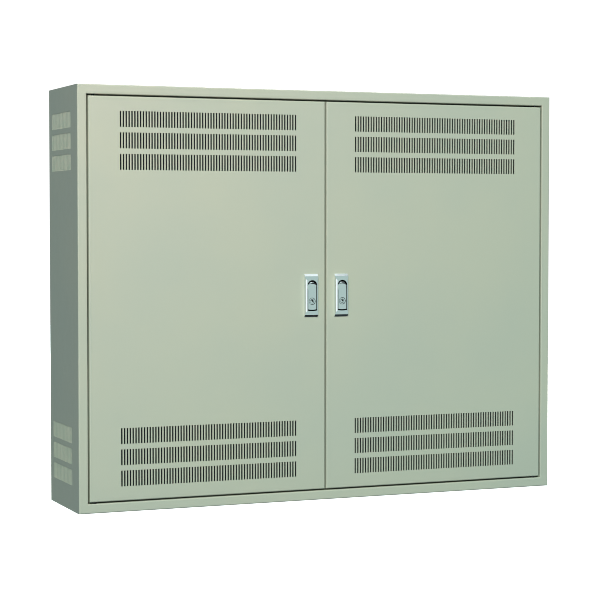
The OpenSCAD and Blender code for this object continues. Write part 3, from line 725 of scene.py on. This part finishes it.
def soften_all_edges():
    for side in ("left", "right"):
        soften_edges(f"{side}_handle_base", HANDLE_EDGE, 3)
        for piece in ("bumpers", "magnet_catches", "rod_guides"):
            soften_edges(f"{side}_{piece}", MOULDED_EDGE)
        for piece in ("lock_barrel", "upper_rod", "lower_rod", "lock_cam"):
            soften_edges(f"{side}_{piece}", METAL_EDGE)
        for piece in ("frame_hinge_plates", "upper_pin", "lower_pin"):
            soften_edges(f"{side}_{piece}", METAL_EDGE)
    for piece in ("equipment_plate", "cable_cover"):
        soften_edges(piece, SHEET_EDGE)


def add_camera():
    """The camera at the photograph's viewing angle."""
    heading = math.radians(HEADING_DEG)
    pitch = math.radians(PITCH_DEG)
    level = math.cos(pitch)
    forward = Vector((math.sin(heading) * level, math.cos(heading) * level, math.sin(pitch)))
    right = forward.cross(Vector((0, 0, 1))).normalized()
    axes = Matrix((right, right.cross(forward), -forward)).transposed().to_4x4()
    data = bpy.data.cameras.new("camera")
    data.sensor_width = SENSOR_MM
    data.lens = SENSOR_MM * FOCAL_PX / IMAGE_PX
    camera = bpy.data.objects.new("camera", data)
    camera.matrix_world = Matrix.Translation(CAMERA_AT) @ axes
    bpy.context.collection.objects.link(camera)
    bpy.context.scene.camera = camera


def facing(place, direction):
    """The matrix of a light or card at a place, with its local -Z along a direction."""
    turn = Vector(direction).to_track_quat("-Z", "Y").to_matrix().to_4x4()
    return Matrix.Translation(place) @ turn


def add_light(name, kind, matrix, power, colour):
    data = bpy.data.lights.new(name, kind)
    data.energy = power
    data.color = colour
    light = bpy.data.objects.new(name, data)
    light.matrix_world = matrix
    bpy.context.collection.objects.link(light)
    return light


def add_far_light(name, to_light, softness_deg, power, colour):
    """A large far lamp: as bright on one end of the cabinet as on the other."""
    lamp = add_light(name, "SUN", facing((0, 0, 0), -Vector(to_light)), power, colour)
    lamp.data.angle = math.radians(softness_deg)


def add_panel_light(name, place, target, size, power, colour=(1, 1, 1)):
    panel = add_light(name, "AREA", facing(place, Vector(target) - Vector(place)), power, colour)
    panel.data.shape = "RECTANGLE"
    panel.data.size, panel.data.size_y = size


def add_floor():
    """A pale lit table that doesn't throw its own light back on the cabinet."""
    bpy.ops.mesh.primitive_plane_add(size=FLOOR_SIZE, location=(0, FLOOR_Y, cad_box[0][2]))
    floor = bpy.context.object
    floor.name = "floor"
    mat, _, _ = new_material(
        "floor",
        Base_Color=FLOOR_TINT,
        Roughness=0.9,
        Emission_Color=FLOOR_TINT,
        Emission_Strength=FLOOR_GLOW,
    )
    floor.data.materials.append(mat)
    floor.visible_diffuse = False
    floor.visible_glossy = False


def add_card(name, place, target, size, colour, strength):
    """A glowing card that only reflections see."""
    bpy.ops.mesh.primitive_plane_add(size=1)
    card = bpy.context.object
    card.name = name
    card.matrix_world = facing(place, Vector(target) - Vector(place)) @ Matrix.Diagonal((*size, 1, 1))
    card.visible_camera = False
    card.visible_diffuse = False
    card.visible_shadow = False
    mat, _, _ = new_material(
        name, Base_Color=(0, 0, 0, 1), Emission_Color=colour, Emission_Strength=strength
    )
    card.data.materials.append(mat)


def add_painted_hole_shade():
    """Painted shade: near-black discs just behind the bolt holes, so the holes look shaded from behind.
    """
    bolts = frame["record"]["mounts"][0]["dims"]
    across = bolts["spacing_x_mm"] * MM / 2
    up = bolts["spacing_y_mm"] * MM / 2
    # Painted shade: matte near-black discs
    mat, _, _ = new_material("hole_shade_paint", Base_Color=PAINTED_SHADE_TINT, Roughness=1.0)
    for x in (-across, across):
        for z in (-up, up):
            bpy.ops.mesh.primitive_circle_add(radius=bolts["hole_r_mm"] * MM, fill_type="NGON")
            shade_disc = bpy.context.object
            shade_disc.name = "hole_shade_paint"
            shade_disc.matrix_world = facing((x, SHADE_DISC_GAP, z), (0, 1, 0))
            shade_disc.data.materials.append(mat)


def add_world():
    """Soft cool light from all round, in front of a white backdrop."""
    world = bpy.context.scene.world or bpy.data.worlds.new("world")
    bpy.context.scene.world = world
    world.use_nodes = True
    tree = world.node_tree
    ambient = tree.nodes["Background"]
    ambient.inputs["Color"].default_value = AMBIENT_TINT
    ambient.inputs["Strength"].default_value = AMBIENT_STRENGTH
    backdrop = tree.nodes.new("ShaderNodeBackground")
    backdrop.inputs["Color"].default_value = (1, 1, 1, 1)
    backdrop.inputs["Strength"].default_value = BACKDROP_STRENGTH
    path = tree.nodes.new("ShaderNodeLightPath")
    mix = tree.nodes.new("ShaderNodeMixShader")
    tree.links.new(path.outputs["Is Camera Ray"], mix.inputs["Fac"])
    tree.links.new(ambient.outputs["Background"], mix.inputs[1])
    tree.links.new(backdrop.outputs["Background"], mix.inputs[2])
    tree.links.new(mix.outputs["Shader"], tree.nodes["World Output"].inputs["Surface"])


def add_lights():
    """A key from the camera's left, a warm panel near the left door, and one behind for other views."""
    add_far_light("key", (-0.40, -1.0, 0.75), 10, 2.70, (0.715, 1.0, 0.93))
    add_panel_light("warm", (-0.75, -1.6, 1.0), (-0.3, -0.2, 0.1), (0.7, 0.5), 15.0, (1.0, 0.72, 0.70))
    add_panel_light("back", (1.5, 3.2, 1.8), (0.2, 0, 0), (1.6, 1.6), 150, (1.0, 0.93, 0.82))


def add_cards():
    """What the chrome mirrors: grey on the camera's right, white on its left and above, dark below."""
    add_card("lever_card", (1.9, -2.6, 0.0), HANDLES_AT, (3.4, 10.0), (0.78, 1.0, 0.94, 1), 0.62)
    add_card("rail_card", (-1.9, -2.5, 0.0), HANDLES_AT, (5.6, 2.4), (0.94, 1.0, 1.0, 1), 1.2)
    add_card("top_card", (0, -0.6, 2.6), HANDLES_AT, (2.4, 1.6), (0.92, 1.0, 0.98, 1), 1.1)
    add_card("low_card", (0, -0.29, -0.38), (0, -0.29, 0), (2.0, 0.16), (0, 0, 0, 1), 0.0)


looks = make_looks()
dress_nodes(looks)
add_plate_studs(looks)
add_earth_stud(looks)
add_screens()
# Key plugs take chrome with painted shade in the keyway
key_painted_shade_look = key_face_painted_shade()
for side in ("left", "right"):
    add_lever(side, looks["chrome"])
    add_key_plug(side, key_painted_shade_look)
soften_all_edges()
add_camera()
add_floor()
add_painted_hole_shade()
add_world()
add_lights()
add_cards()
bpy.context.scene.view_settings.view_transform = "Standard"
bpy.context.scene.cycles.filter_width = PIXEL_FILTER
